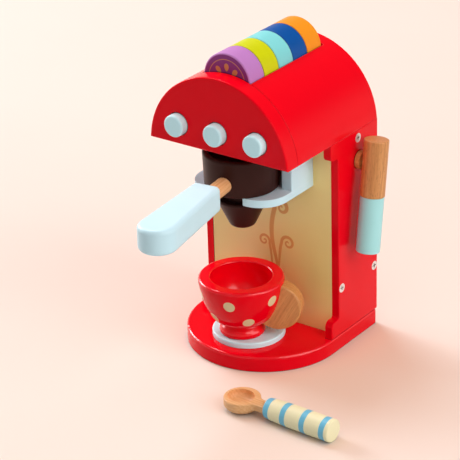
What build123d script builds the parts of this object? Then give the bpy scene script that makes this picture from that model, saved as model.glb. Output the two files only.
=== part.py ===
from build123d import *
import os
from math import atan, cos, degrees, radians

# A child's wooden coffee maker with its cup, pods and scoop, in millimetres, +Z up.
# The front faces -Y. The origin is on the underside of the base, at the centre of its
# round front. Each sub-part is one function, and each is written to its own STEP file.

# ---- Driving dimensions -------------------------------------------------------------

# Base board
base_radius = 58.0
base_front_y = 1.0            # where the round front of the base starts
base_straight = 60.0          # from the centre of the round front to the straight rear edge
base_thickness = 12.0
base_corner = 3.0
base_ease = 1.8

# Column of boards between the base and the head
panel_thickness = 6.0
panel_height = 151.0
panel_setback = 9.2           # the panel's front edge lies this far behind its ears
ear_height = 13.0
ear_corner = 4.5
ear_root = 2.0
board_thickness = 8.0
top_board_thickness = 12.0
board_ease = 0.8

# Head, a barrel-shaped housing with a flat underside, as wide as the base
head_axis_drop = 3.2          # the barrel's axis lies this far below the underside
head_overhang = 52.3          # front of the head, ahead of the origin
front_plate_thickness = 13.0
shell_wall = 8.0
head_floor_thickness = 5.0
back_plate_thickness = 8.0
head_ease = 1.2
seam_ease = 0.6

# Pods and the tray that they stand in
pod_count = 5
pod_radius = 19.5
pod_thickness = 17.1
pod_ease = 1.2
pod_height = 49.5             # from the underside of the head to a pod's centre
pod_gap = 0.2
pod_clearance = 0.3
pod_side_clearance = 0.7
slot_end_gap = 1.7
tray_wall = 4.2
tray_floor = 3.5
bearer_thickness = 8.0
bearer_width = 40.0
bearer_rear_inset = 20.0      # from the tray's rear end to the rear bearer's centre
bearer_spacing = 45.0

# Push buttons
button_radius = 8.0
button_clearance = 0.6
button_edge = 25.0            # from an outer button's centre to the side of the head
button_height = 15.0          # above the underside of the head
button_show = 6.2
button_rim = 1.6
collar_radius = 9.5
collar_thickness = 2.5
spring_radius = 5.4           # to the middle of the wire
spring_wire = 0.5
spring_turns = 4
spring_length = 13.6
spring_seat_depth = 2.0
spring_seat_clearance = 0.4
rail_thickness = 6.0
rail_top_gap = 3.2            # from the rail's top to the tray
rail_inset = 4.0              # from the shell's inner face to the rail's ends

# Cradle under the head, which holds the filter
cradle_half_width = 36.9
cradle_front = 44.4
cradle_corner = 21.0
cradle_thickness = 6.0
cradle_drop = 32.6            # from the underside of the head to the top of the plate
cradle_wall_thickness = 8.8
cradle_wall_length = 26.3
cradle_ease = 0.9
prong_corner = 1.4
slot_clearance = 0.5

# Filter: a turned cup on a spout, with a paddle handle on a dowel
filter_y = -25.0
cup_seat_gap = 0.3
filter_bottom_radius = 26.2
filter_top_radius = 27.2
filter_height = 26.8
filter_rim_ease = 1.8
filter_bowl_radius = 22.6
filter_bowl_depth = 8.0
filter_bowl_corner = 3.0
neck_radius = 13.2
neck_length = 8.6
spout_length = 22.5
spout_top_radius = 19.2
spout_bottom_radius = 8.6
spout_top_ease = 1.5
spout_bottom_ease = 4.0
spigot_radius = 5.0
spigot_length = 8.0
running_clearance = 0.05
dowel_radius = 5.8
dowel_height = 9.5            # above the cup's underside
dowel_cup_depth = 14.0
dowel_paddle_depth = 16.0
handle_turn = 7.8             # the handle points this far to the right of straight ahead
paddle_start = 48.0           # from the filter's axis
paddle_end = 130.5
paddle_near_half_width = 10.6
paddle_far_radius = 13.8
paddle_near_corner = 4.2
paddle_thickness = 18.6
paddle_rise = 1.1             # of its middle above the dowel's
paddle_ease = 3.4

# Steam wand on the right-hand panel
wand_pivot_y = 35.7
wand_pivot_drop = 22.7        # below the underside of the head
wand_lean = 7.9               # its lower end leans forward
wand_radius = 8.9
wand_above = 17.5
wand_below = 24.0
nozzle_radius = 8.6
nozzle_length = 41.3
nozzle_spigot_radius = 4.0
nozzle_spigot_length = 10.0
wand_ease = 0.8
peg_radius = 6.8
peg_length = 4.1
peg_face_gap = 0.15
peg_shaft_radius = 4.0
peg_pin_radius = 3.5
peg_pin_length = 9.0
wand_washer_radius = 7.0
wand_washer_thickness = 1.5
wand_washer_gap = 0.2

# Hot plate and cup
hotplate_y = -21.0
hotplate_radius = 26.4
hotplate_thickness = 4.0
hotplate_ease = 1.0
cup_x = -0.6
cup_y = -27.9
cup_height = 44.4
cup_rim_radius = 30.9
cup_mouth_radius = 22.2
cup_rim_ease = 2.2
cup_lip_ease = 1.0
cup_wall_floor = 3.8          # wood between the underside and the floor of the bowl
foot_radius = 16.6
foot_sole_radius = 14.6
foot_widest_height = 2.4
foot_curve_pull = 3.8         # how far the foot's side holds its line before it curves in
waist_radius = 12.9
bowl_underside_height = 10.3
bowl_heel_radius = 16.0       # where the flat underside starts to turn up into the side
bowl_heel_reach = 9.5         # how far the heel's curve pulls outwards
bowl_side_drop = 5.0          # how far the side's curve pulls down from the rim
hollow_middle_radius = 17.8
hollow_middle_height = 22.5
hollow_floor_radius = 7.0
cup_handle_radius = 17.7
cup_handle_thickness = 12.0
cup_handle_reach = 26.6       # from the cup's axis to the disc's centre
cup_handle_height = 23.5
cup_handle_turn = 22.3
cup_handle_ease = 1.6

# Scoop, lying on the floor beside the base
scoop_x = 37.6
scoop_y = -96.8
scoop_turn = -1.7
scoop_bowl_reach = 10.6       # from the scoop's origin to the middle of its bowl
scoop_bowl_radius = 13.0
scoop_bowl_height = 10.2
scoop_belly_height = 5.4      # where the rounded underside meets the upright rim
scoop_sole_radius = 4.0
scoop_rim_ease = 0.9
scoop_hollow_shift = -0.9     # of the hollow towards the tip
scoop_hollow_half_length = 9.9
scoop_hollow_half_width = 8.8
scoop_hollow_depth = 5.6
scoop_hollow_corner = 4.0
scoop_neck_half_width = 4.6
scoop_neck_blend = 6.0
scoop_stem_radius = 2.2
scoop_stem_height = 7.8
scoop_stem_seat = 12.0
scoop_handle_start = 32.6
scoop_handle_length = 54.3
scoop_handle_near_radius = 7.1
scoop_handle_swell = 8.5      # pulls the side of the handle outwards
scoop_handle_far_radius = 8.2
scoop_handle_ease = 1.2

# Screws
screw_head_radius = 3.4
screw_head_depth = 2.4
screw_shank_radius = 1.6
screw_clearance = 0.05
screw_cross_length = 3.6
screw_cross_width = 0.8
screw_cross_depth = 1.2
side_screw_length = 22.0
side_screw_height = 48.4      # the two lower screws of each panel, above the floor
base_screw_length = 30.0
base_screw_inset = 16.0       # from a panel's inner face
base_screw_recess = 0.6
head_screw_length = 16.0
head_screw_inset = 22.0       # from a panel's inner face
cradle_screw_length = 24.0
small_screw_length = 12.0

# ---- Places worked out from the sizes -----------------------------------------------

panel_outer = base_radius
panel_inner = panel_outer - panel_thickness
rear = base_straight
column_front = panel_setback
column_bottom = base_thickness
column_top = column_bottom + panel_height
front_board_y = column_front + board_thickness / 2
back_board_y = rear - board_thickness / 2
column_middle_y = (column_front + rear) / 2

head_bottom = column_top
head_radius = base_radius
head_axis_z = head_bottom - head_axis_drop
head_top = head_axis_z + head_radius
head_inner_radius = head_radius - shell_wall
head_floor_top = head_bottom + head_floor_thickness
plate_front = -head_overhang
plate_rear = plate_front + front_plate_thickness
back_plate_front = rear - back_plate_thickness

pod_z = head_bottom + pod_height
pod_pitch = pod_thickness + pod_gap
first_pod_y = plate_rear + pod_clearance + pod_thickness / 2
slot_half_width = pod_radius + pod_side_clearance
slot_end = first_pod_y + (pod_count - 1) * pod_pitch + pod_thickness / 2 + slot_end_gap
groove_radius = pod_radius + pod_clearance
tray_bottom = pod_z - groove_radius - tray_floor

button_z = head_bottom + button_height
button_spacing = head_radius - button_edge
button_hole_radius = button_radius + button_clearance
collar_rear = plate_rear + collar_thickness
rail_front = collar_rear + spring_length - spring_seat_depth
rail_rear = rail_front + rail_thickness
rail_height = tray_bottom - rail_top_gap - head_floor_top
base_screw_x = panel_inner - base_screw_inset
head_screw_x = panel_inner - head_screw_inset

cradle_top = head_bottom - cradle_drop
cradle_bottom = cradle_top - cradle_thickness
cradle_wall_x = cradle_half_width - cradle_wall_thickness / 2
cradle_wall_y = column_front - cradle_wall_length / 2
cradle_slot_half_width = neck_radius + slot_clearance

filter_bottom = cradle_top + cup_seat_gap

wand_x = panel_outer + peg_face_gap + peg_length + wand_radius
wand_pivot_z = head_bottom - wand_pivot_drop
hotplate_top = base_thickness + hotplate_thickness

node_shapes = {}


def at(x, y, z):
    """A move by x, y, z."""
    return Pos(x, y, z)


def ring_edges(shape, axis=Axis.Z, end=-1):
    """The edges at one end of a shape along an axis."""
    return shape.faces().sort_by(axis)[end].edges()


def along_x(shape, towards_plus):
    """Turns a shape made along +Z so that it runs along +X or -X."""
    return Rot(0, 90 if towards_plus else -90, 0) * shape


def along_y(shape):
    """Turns a shape made along +Z so that it runs along +Y."""
    return Rot(-90, 0, 0) * shape


def barrel(radius, y_start, y_end):
    """The part above the head's underside of a cylinder on the head's axis."""
    length = y_end - y_start
    full = at(0, y_start, head_axis_z) * along_y(
        Cylinder(radius, length, align=(Align.CENTER, Align.CENTER, Align.MIN)))
    keep = at(0, (y_start + y_end) / 2, head_bottom) * Box(
        3 * radius, length, 2 * radius, align=(Align.CENTER, Align.CENTER, Align.MIN))
    return full & keep


def upright(radius, height):
    """A cylinder that stands on its origin."""
    return Cylinder(radius, height, align=(Align.CENTER, Align.CENTER, Align.MIN))


# ---- Screws -------------------------------------------------------------------------

def screw_blank(length, clearance=0.0):
    """A countersunk screw's outline, head at the origin and shank along -Z."""
    head = screw_head_radius + clearance
    shank = screw_shank_radius + clearance
    profile = make_face(Polyline(
        (0, 0), (head, 0), (shank, -screw_head_depth), (shank, -length + shank),
        (0, -length - clearance), close=True))
    return revolve(Plane.XZ * profile, Axis.Z)


def screw(length):
    """A countersunk cross-head screw."""
    bar = Box(screw_cross_length, screw_cross_width, 2 * screw_cross_depth)
    return screw_blank(length) - bar - Rot(0, 0, 90) * bar


def screw_group(places, length):
    """Copies of one screw, as separate solids of one node."""
    return Compound(children=[place * screw(length) for place in places])


def drilled(shape, places, length):
    """A shape with a snug hole for each screw of a group."""
    for place in places:
        shape -= place * screw_blank(length, screw_clearance)
    return shape


def side_screw_places(side):
    """Top board, front board and back board screws of the panel on one side."""
    spots = [(column_middle_y, column_top - top_board_thickness / 2),
             (front_board_y, side_screw_height),
             (back_board_y, side_screw_height)]
    return [at(side * panel_outer, y, z) * Rot(0, side * 90, 0) for y, z in spots]


def base_screw_places():
    """Screws from below, up into the front and back boards."""
    return [at(x, y, base_screw_recess) * Rot(180, 0, 0)
            for x in (-base_screw_x, base_screw_x) for y in (front_board_y, back_board_y)]


def head_screw_places():
    """Screws up through the top board into the floor of the head."""
    bottom = column_top - top_board_thickness
    return [at(x, column_middle_y, bottom) * Rot(180, 0, 0)
            for x in (-head_screw_x, head_screw_x)]


def cradle_screw_places():
    """Screws down through the floor of the head into the cradle's walls."""
    return [at(x, cradle_wall_y, head_floor_top) for x in (-cradle_wall_x, cradle_wall_x)]


# ---- Base and column ----------------------------------------------------------------

def base_plate():
    width = 2 * base_radius
    half_circle = Circle(base_radius) & Pos(0, -base_radius / 2) * Rectangle(width, base_radius)
    outline = Pos(0, base_front_y) * half_circle
    outline += Pos(0, (rear + base_front_y) / 2) * Rectangle(width, rear - base_front_y)
    outline = fillet(outline.vertices().group_by(Axis.Y)[-1], base_corner)
    board = extrude(outline, base_thickness)
    board = fillet(ring_edges(board), base_ease)
    board = fillet(ring_edges(board, end=0), base_ease / 2)
    screw_room = at(0, 0, -2 * base_screw_recess) * upright(
        screw_head_radius + screw_clearance, 2 * base_screw_recess)
    for place in base_screw_places():
        board -= place * Rot(180, 0, 0) * screw_room
    return drilled(board, base_screw_places(), base_screw_length)


def side_panel(side):
    """A C-shaped panel: straight rear edge, and an ear at the top and bottom of its front."""
    ear_top = column_bottom + ear_height
    ear_low = column_top - ear_height
    outline = make_face(Polyline(
        (rear, column_bottom), (0, column_bottom), (0, ear_top), (column_front, ear_top),
        (column_front, ear_low), (0, ear_low), (0, column_top), (rear, column_top),
        close=True))
    corners = outline.vertices().filter_by(
        lambda v: v.X < column_front / 2 and ear_top - 1 < v.Y < ear_low + 1)
    outline = fillet(corners, ear_corner)
    roots = outline.vertices().filter_by(
        lambda v: abs(v.X - column_front) < 1e-6 and ear_top - 1 < v.Y < ear_low + 1)
    outline = fillet(roots, ear_root)
    panel = extrude(Plane.YZ * outline, panel_thickness)
    panel = at(panel_inner if side > 0 else -panel_outer, 0, 0) * panel
    panel = fillet(ring_edges(panel, Axis.X, -1 if side > 0 else 0), board_ease)
    if side > 0:
        bore = peg_shaft_radius + running_clearance
        panel -= at(panel_inner + panel_thickness / 2, wand_pivot_y, wand_pivot_z) * (
            along_x(Cylinder(bore, 2 * panel_thickness), True))
    return drilled(panel, side_screw_places(side), side_screw_length)


def upright_board(middle_y):
    """A full-width board of the column, with its outer upright edges eased."""
    board = Box(2 * panel_inner, board_thickness, panel_height,
                align=(Align.CENTER, Align.CENTER, Align.MIN))
    outer_face = board.faces().sort_by(Axis.Y)[0 if middle_y < column_middle_y else -1]
    board = fillet(outer_face.edges().filter_by(Axis.Z), board_ease)
    board = at(0, middle_y, column_bottom) * board
    for side in (-1, 1):
        board = drilled(board, side_screw_places(side), side_screw_length)
    return drilled(board, base_screw_places(), base_screw_length)


def top_board():
    depth = (back_board_y - front_board_y) - board_thickness
    board = at(0, column_middle_y, column_top) * Box(
        2 * panel_inner, depth, top_board_thickness,
        align=(Align.CENTER, Align.CENTER, Align.MAX))
    for side in (-1, 1):
        board = drilled(board, side_screw_places(side), side_screw_length)
    return drilled(board, head_screw_places(), head_screw_length)


# ---- Head ---------------------------------------------------------------------------

def button_x(index):
    return (index - 1) * button_spacing


def head_front_plate():
    plate = barrel(head_radius, plate_front, plate_rear)
    plate = fillet(ring_edges(plate, Axis.Y, 0), head_ease)
    plate = fillet(ring_edges(plate, Axis.Y, -1).filter_by(GeomType.CIRCLE), seam_ease)
    for index in range(3):
        plate -= at(button_x(index), plate_front - 1, button_z) * along_y(
            upright(button_hole_radius, front_plate_thickness + 2))
    return plate


def head_shell():
    shell = barrel(head_radius, plate_rear, rear) - barrel(
        head_inner_radius, plate_rear - 1, rear + 1)
    outer_rear = ring_edges(shell, Axis.Y, -1).filter_by(GeomType.CIRCLE).sort_by(Axis.Z)[-1]
    shell = fillet(outer_rear, head_ease)
    shell = fillet(
        ring_edges(shell, Axis.Y, 0).filter_by(GeomType.CIRCLE).sort_by(Axis.Z)[-1], seam_ease)
    slot_length = slot_end - plate_rear
    slot = at(0, plate_rear - 1, head_axis_z) * Box(
        2 * slot_half_width, slot_length + 1, 2 * head_radius,
        align=(Align.CENTER, Align.MIN, Align.MIN))
    return shell - slot


def head_floor():
    board = barrel(head_inner_radius, plate_rear, back_plate_front) & at(
        0, 0, head_bottom) * Box(
            3 * head_radius, 4 * head_radius, head_floor_thickness,
            align=(Align.CENTER, Align.CENTER, Align.MIN))
    board = drilled(board, head_screw_places(), head_screw_length)
    return drilled(board, cradle_screw_places(), cradle_screw_length)


def head_back_plate():
    return barrel(head_inner_radius, back_plate_front, rear)


def pod_tray():
    """A block under the slot, with a round groove that the pods stand in."""
    length = back_plate_front - plate_rear
    block = at(0, plate_rear, tray_bottom) * Box(
        2 * (slot_half_width + tray_wall), length, head_radius,
        align=(Align.CENTER, Align.MIN, Align.MIN))
    block &= barrel(head_inner_radius, plate_rear, back_plate_front)
    groove_length = slot_end - plate_rear
    groove = at(0, plate_rear, pod_z) * along_y(upright(groove_radius, groove_length))
    mouth = at(0, plate_rear, pod_z) * Box(
        2 * groove_radius, groove_length, 2 * groove_radius,
        align=(Align.CENTER, Align.MIN, Align.MIN))
    return block - groove - mouth


def tray_bearers():
    """Two boards on edge, which carry the tray on the floor of the head."""
    rear_y = back_plate_front - bearer_rear_inset
    board = Box(bearer_width, bearer_thickness, tray_bottom - head_floor_top,
                align=(Align.CENTER, Align.CENTER, Align.MIN))
    return Compound(children=[
        at(0, y, head_floor_top) * board for y in (rear_y, rear_y - bearer_spacing)])


# ---- Push buttons -------------------------------------------------------------------

def button(index):
    length = button_show + front_plate_thickness
    knob = upright(button_radius, length)
    knob = fillet(ring_edges(knob, end=0), button_rim)
    knob = at(button_x(index), plate_front - button_show, button_z) * along_y(knob)
    return drilled(knob, [button_screw_place(index)], small_screw_length)


def button_screw_place(index):
    return at(button_x(index), collar_rear, button_z) * Rot(-90, 0, 0)


def button_collar(index):
    """A washer on the knob's rear end, which stops it from leaving its hole."""
    washer = upright(collar_radius, collar_thickness)
    washer = fillet(ring_edges(washer), seam_ease)
    washer = at(button_x(index), plate_rear, button_z) * along_y(washer)
    return drilled(washer, [button_screw_place(index)], small_screw_length)


def button_screw(index):
    return button_screw_place(index) * screw(small_screw_length)


def button_spring(index):
    """A coil spring between the collar and its seat in the rail, with closed ends."""
    height = spring_length - 2 * spring_wire
    path = Helix(height / spring_turns, height, spring_radius)
    coil = sweep(Plane(path @ 0, z_dir=path % 0) * Circle(spring_wire), path, is_frenet=True)
    return at(button_x(index), collar_rear + spring_wire, button_z) * along_y(coil)


def button_rail():
    """A board across the head, behind the buttons, with a seat for each spring."""
    board = barrel(head_inner_radius - rail_inset, rail_front, rail_rear) & at(
        0, 0, head_floor_top) * Box(
            3 * head_radius, 4 * head_radius, rail_height,
            align=(Align.CENTER, Align.CENTER, Align.MIN))
    seat = spring_radius + spring_wire + spring_seat_clearance
    for index in range(3):
        board -= at(button_x(index), rail_front, button_z) * along_y(
            upright(seat, spring_seat_depth))
    return board


# ---- Cradle -------------------------------------------------------------------------

def cradle_plate():
    """A plate with a slot that is open at the front, for the filter's neck."""
    depth = column_front + cradle_front
    outline = Pos(0, column_front - depth / 2) * Rectangle(2 * cradle_half_width, depth)
    outline = fillet(outline.vertices().group_by(Axis.Y)[0], cradle_corner)
    slot_length = filter_y + cradle_front
    outline -= Pos(0, filter_y) * Circle(cradle_slot_half_width)
    outline -= Pos(0, filter_y - slot_length) * Rectangle(
        2 * cradle_slot_half_width, slot_length, align=(Align.CENTER, Align.MIN))
    tips = outline.vertices().group_by(Axis.Y)[0]
    outline = fillet(
        tips.filter_by(lambda v: abs(v.X) < cradle_slot_half_width + 1e-3), prong_corner)
    plate = extrude(outline, cradle_thickness)
    plate = fillet(ring_edges(plate, end=0), cradle_ease)
    return at(0, 0, cradle_bottom) * plate


def cradle_wall(side):
    """A block from the plate up to the head, against the front board."""
    wall = Box(cradle_wall_thickness, cradle_wall_length, cradle_drop)
    front_edges = wall.faces().sort_by(Axis.Y)[0].edges().filter_by(Axis.Z)
    wall = fillet(front_edges, cradle_ease)
    wall = at(side * cradle_wall_x, cradle_wall_y, cradle_top + cradle_drop / 2) * wall
    return drilled(wall, cradle_screw_places(), cradle_screw_length)


# ---- Filter -------------------------------------------------------------------------

def filter_axis_place(z):
    return at(0, filter_y, z) * Rot(0, 0, handle_turn)


def handle_bore(radius, start, length):
    """A cylinder along the handle, ahead of the filter's axis."""
    return at(0, -start, dowel_height) * Rot(90, 0, 0) * upright(radius, length)


def filter_cup():
    outline = make_face(Polyline(
        (0, 0), (filter_bottom_radius, 0), (filter_top_radius, filter_height),
        (0, filter_height), close=True))
    cup = revolve(Plane.XZ * outline, Axis.Z)
    cup = fillet(ring_edges(cup, end=0), filter_rim_ease / 2)
    bowl = upright(filter_bowl_radius, 2 * filter_bowl_depth)
    bowl = fillet(ring_edges(bowl, end=0), filter_bowl_corner)
    cup -= at(0, 0, filter_height - filter_bowl_depth) * bowl
    cup = fillet(ring_edges(cup), filter_rim_ease)
    cup -= upright(spigot_radius + running_clearance, spigot_length + 1)
    surface = filter_bottom_radius - dowel_cup_depth
    cup -= handle_bore(dowel_radius, surface, 2 * dowel_cup_depth)
    return filter_axis_place(filter_bottom) * cup


def spout():
    """The turned lower piece: spout, the neck that runs in the cradle, and a spigot."""
    bottom = -neck_length - spout_length
    outline = make_face(Polyline(
        (0, bottom), (spout_bottom_radius, bottom), (spout_top_radius, -neck_length),
        (neck_radius, -neck_length), (neck_radius, -running_clearance),
        (spigot_radius, -running_clearance), (spigot_radius, spigot_length),
        (0, spigot_length), close=True))
    piece = revolve(Plane.XZ * outline, Axis.Z)
    circles = piece.edges().filter_by(GeomType.CIRCLE)
    rim = circles.filter_by(lambda e: abs(e.radius - spout_top_radius) < 1e-3)
    piece = fillet(rim, spout_top_ease)
    piece = fillet(ring_edges(piece, end=0), spout_bottom_ease)
    return at(0, filter_y, filter_bottom) * piece


def handle_dowel():
    start = filter_bottom_radius - dowel_cup_depth
    end = paddle_start + dowel_paddle_depth
    return filter_axis_place(filter_bottom) * handle_bore(dowel_radius, start, end - start)


def handle_paddle():
    """A flat paddle that widens to a round end."""
    corner_y = -(paddle_start + paddle_near_corner)
    corner_x = paddle_near_half_width - paddle_near_corner
    far_y = -(paddle_end - paddle_far_radius)
    outline = make_hull(
        (Pos(corner_x, corner_y) * Circle(paddle_near_corner)).edges()
        + (Pos(-corner_x, corner_y) * Circle(paddle_near_corner)).edges()
        + (Pos(0, far_y) * Circle(paddle_far_radius)).edges())
    paddle = at(0, 0, dowel_height + paddle_rise - paddle_thickness / 2) * extrude(
        outline, paddle_thickness)
    paddle = fillet(ring_edges(paddle), paddle_ease)
    paddle = fillet(ring_edges(paddle, end=0), paddle_ease)
    paddle -= handle_bore(dowel_radius, paddle_start - 1, dowel_paddle_depth + 1)
    return filter_axis_place(filter_bottom) * paddle


# ---- Steam wand ---------------------------------------------------------------------

def wand_place():
    return at(wand_x, wand_pivot_y, wand_pivot_z) * Rot(-wand_lean, 0, 0)


def wand_handle():
    length = wand_above + wand_below
    rod = at(0, 0, -wand_below) * upright(wand_radius, length)
    rod = fillet(ring_edges(rod), wand_ease)
    rod = fillet(ring_edges(rod, end=0), wand_ease)
    rod -= at(-wand_radius - 1, 0, 0) * along_x(upright(peg_pin_radius, peg_pin_length + 1), True)
    rod -= at(0, 0, -wand_below) * upright(nozzle_spigot_radius, nozzle_spigot_length)
    return wand_place() * rod


def wand_nozzle():
    rod = at(0, 0, -wand_below - nozzle_length) * upright(nozzle_radius, nozzle_length)
    rod = fillet(ring_edges(rod, end=0), wand_ease)
    rod += at(0, 0, -wand_below) * upright(nozzle_spigot_radius, nozzle_spigot_length)
    return wand_place() * rod


def wand_peg():
    """The pivot: a round spacer, a shaft that turns in the panel and a pin in the wand."""
    spacer = at(panel_outer + peg_face_gap, 0, 0) * along_x(upright(peg_radius, peg_length), True)
    spacer = fillet(ring_edges(spacer, Axis.X, 0), seam_ease)
    shaft_start = panel_inner - wand_washer_gap
    shaft_length = panel_outer + peg_face_gap - shaft_start
    shaft = at(shaft_start, 0, 0) * along_x(upright(peg_shaft_radius, shaft_length), True)
    pin = at(panel_outer + peg_face_gap + peg_length, 0, 0) * along_x(
        upright(peg_pin_radius, peg_pin_length), True)
    peg = at(0, wand_pivot_y, wand_pivot_z) * (spacer + shaft + pin)
    return drilled(peg, [wand_screw_place()], small_screw_length)


def wand_screw_place():
    x = panel_inner - wand_washer_gap - wand_washer_thickness
    return at(x, wand_pivot_y, wand_pivot_z) * Rot(0, -90, 0)


def wand_washer():
    x = panel_inner - wand_washer_gap - wand_washer_thickness
    washer = at(x, wand_pivot_y, wand_pivot_z) * along_x(
        upright(wand_washer_radius, wand_washer_thickness), True)
    return drilled(washer, [wand_screw_place()], small_screw_length)


def wand_screw():
    return wand_screw_place() * screw(small_screw_length)


# ---- Hot plate, cup, pods, scoop ----------------------------------------------------

def hotplate():
    disc = at(0, hotplate_y, base_thickness) * upright(hotplate_radius, hotplate_thickness)
    return fillet(ring_edges(disc), hotplate_ease)


def cup_outer_line():
    """Half outline of the cup, from the centre of its foot to the top of its rim."""
    sole_edge = (foot_sole_radius, 0)
    foot_side = (foot_radius, foot_widest_height)
    waist = (waist_radius, bowl_underside_height)
    heel = (bowl_heel_radius, bowl_underside_height)
    shoulder = (cup_rim_radius, cup_height - cup_rim_ease)
    return [
        Line((0, 0), sole_edge),
        Bezier(sole_edge, (foot_radius, 0), foot_side),
        Bezier(foot_side, (foot_radius, foot_widest_height + foot_curve_pull),
               (waist_radius, bowl_underside_height - foot_curve_pull), waist),
        Line(waist, heel),
        Bezier(heel, (bowl_heel_radius + bowl_heel_reach, bowl_underside_height),
               (cup_rim_radius, cup_height - cup_rim_ease - bowl_side_drop), shoulder),
        RadiusArc(shoulder, (cup_rim_radius - cup_rim_ease, cup_height), -cup_rim_ease),
    ]


def turned(lines):
    """A solid of revolution about Z from a closed half outline."""
    return revolve(Plane.XZ * make_face(lines), Axis.Z)


def cup_blank():
    lines = cup_outer_line()
    return turned(lines + [Line(lines[-1] @ 1, (0, cup_height)), Line((0, cup_height), (0, 0))])


def cup():
    outer = cup_outer_line()
    floor = bowl_underside_height + cup_wall_floor
    lip_start = (cup_mouth_radius + cup_lip_ease, cup_height)
    lip_end = (cup_mouth_radius, cup_height - cup_lip_ease)
    floor_edge = (hollow_floor_radius, floor)
    inner = [
        Line(outer[-1] @ 1, lip_start),
        RadiusArc(lip_start, lip_end, -cup_lip_ease),
        ThreePointArc(lip_end, (hollow_middle_radius, hollow_middle_height), floor_edge),
        Line(floor_edge, (0, floor)),
        Line((0, floor), (0, 0)),
    ]
    return at(cup_x, cup_y, hotplate_top) * turned(outer + inner)


def cup_handle():
    """A wooden disc on edge, notched to sit against the side of the bowl."""
    disc = Cylinder(cup_handle_radius, cup_handle_thickness)
    disc = fillet(ring_edges(disc), cup_handle_ease)
    disc = fillet(ring_edges(disc, end=0), cup_handle_ease)
    disc = at(cup_handle_reach, 0, cup_handle_height) * Rot(90, 0, 0) * disc
    disc = disc - cup_blank()
    return at(cup_x, cup_y, hotplate_top) * Rot(0, 0, cup_handle_turn) * disc


def pod(index):
    disc = fillet(upright(pod_radius, pod_thickness).edges().filter_by(GeomType.CIRCLE), pod_ease)
    start = first_pod_y - pod_thickness / 2 + index * pod_pitch
    return at(0, start, pod_z) * along_y(disc)


def scoop_place():
    return at(scoop_x, scoop_y, 0) * Rot(0, 0, scoop_turn)


def scoop_bowl():
    """A round bowl and its flat neck in one piece, with the stem the handle is glued to."""
    neck_length = scoop_handle_start - scoop_bowl_reach
    outline = Circle(scoop_bowl_radius) + Rectangle(
        neck_length, 2 * scoop_neck_half_width, align=(Align.MIN, Align.CENTER))
    inner_corners = outline.vertices().filter_by(
        lambda v: scoop_neck_half_width < v.X < neck_length - 1)
    outline = fillet(inner_corners, scoop_neck_blend)
    sole, side = (scoop_sole_radius, 0), (scoop_bowl_radius, scoop_belly_height)
    belly = turned([
        Line((0, 0), sole),
        Bezier(sole, ((scoop_sole_radius + scoop_bowl_radius) / 2, 0),
               (scoop_bowl_radius, scoop_belly_height / 2), side),
        Line(side, (0, scoop_belly_height)),
        Line((0, scoop_belly_height), (0, 0)),
    ])
    upper = at(0, 0, scoop_belly_height) * extrude(
        outline, scoop_bowl_height - scoop_belly_height)
    hollow = at(scoop_hollow_shift, 0, scoop_bowl_height - scoop_hollow_depth) * extrude(
        Ellipse(scoop_hollow_half_length, scoop_hollow_half_width), 2 * scoop_hollow_depth)
    hollow = fillet(ring_edges(hollow, end=0), scoop_hollow_corner)
    rim = ring_edges(upper).filter_by(lambda e: e.center().X < neck_length - 0.1)
    bowl = fillet(rim, scoop_rim_ease) + belly - hollow
    bowl += at(0, 0, scoop_stem_height) * along_x(
        upright(scoop_stem_radius, neck_length + scoop_stem_seat), True) - hollow
    return scoop_place() * at(scoop_bowl_reach, 0, 0) * bowl


def scoop_handle():
    """A round handle that swells a little and lies along the floor."""
    near, far = (0, scoop_handle_near_radius), (scoop_handle_length, scoop_handle_far_radius)
    side = Bezier(near, (scoop_handle_length / 5, scoop_handle_swell),
                  (scoop_handle_length / 2, scoop_handle_far_radius), far)
    half = make_face([Line((0, 0), near), side, Line(far, (scoop_handle_length, 0)),
                      Line((scoop_handle_length, 0), (0, 0))])
    rod = revolve(half, Axis.X)
    rod = fillet(ring_edges(rod, Axis.X), scoop_handle_ease)
    rod = fillet(ring_edges(rod, Axis.X, 0), scoop_handle_ease)
    rod = at(scoop_handle_start, 0, -rod.bounding_box().min.Z) * rod
    bore = at(scoop_handle_start - 1, 0, scoop_stem_height) * along_x(
        upright(scoop_stem_radius, scoop_stem_seat + 1), True)
    return scoop_place() * (rod - bore)


# ---- Writing the nodes --------------------------------------------------------------

def keep(name, shape):
    node_shapes[name] = shape


keep("base_plate", base_plate())
keep("side_panel_left", side_panel(-1))
keep("side_panel_right", side_panel(1))
keep("front_board", upright_board(front_board_y))
keep("back_board", upright_board(back_board_y))
keep("top_board", top_board())
keep("side_screws", screw_group(side_screw_places(-1) + side_screw_places(1), side_screw_length))
keep("base_screws", screw_group(base_screw_places(), base_screw_length))
keep("head_screws", screw_group(head_screw_places(), head_screw_length))
keep("cradle_screws", screw_group(cradle_screw_places(), cradle_screw_length))
keep("head_front_plate", head_front_plate())
keep("head_shell", head_shell())
keep("head_floor", head_floor())
keep("head_back_plate", head_back_plate())
keep("pod_tray", pod_tray())
keep("tray_bearers", tray_bearers())
keep("button_rail", button_rail())
for index, side_name in enumerate(("left", "middle", "right")):
    keep(f"button_{side_name}", button(index))
    keep(f"button_collar_{side_name}", button_collar(index))
    keep(f"button_screw_{side_name}", button_screw(index))
    keep(f"button_spring_{side_name}", button_spring(index))
keep("cradle_plate", cradle_plate())
keep("cradle_wall_left", cradle_wall(-1))
keep("cradle_wall_right", cradle_wall(1))
keep("filter_cup", filter_cup())
keep("filter_spout", spout())
keep("handle_dowel", handle_dowel())
keep("handle_paddle", handle_paddle())
keep("wand_handle", wand_handle())
keep("wand_nozzle", wand_nozzle())
keep("wand_peg", wand_peg())
keep("wand_washer", wand_washer())
keep("wand_screw", wand_screw())
keep("hotplate", hotplate())
keep("cup", cup())
keep("cup_handle", cup_handle())
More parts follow.
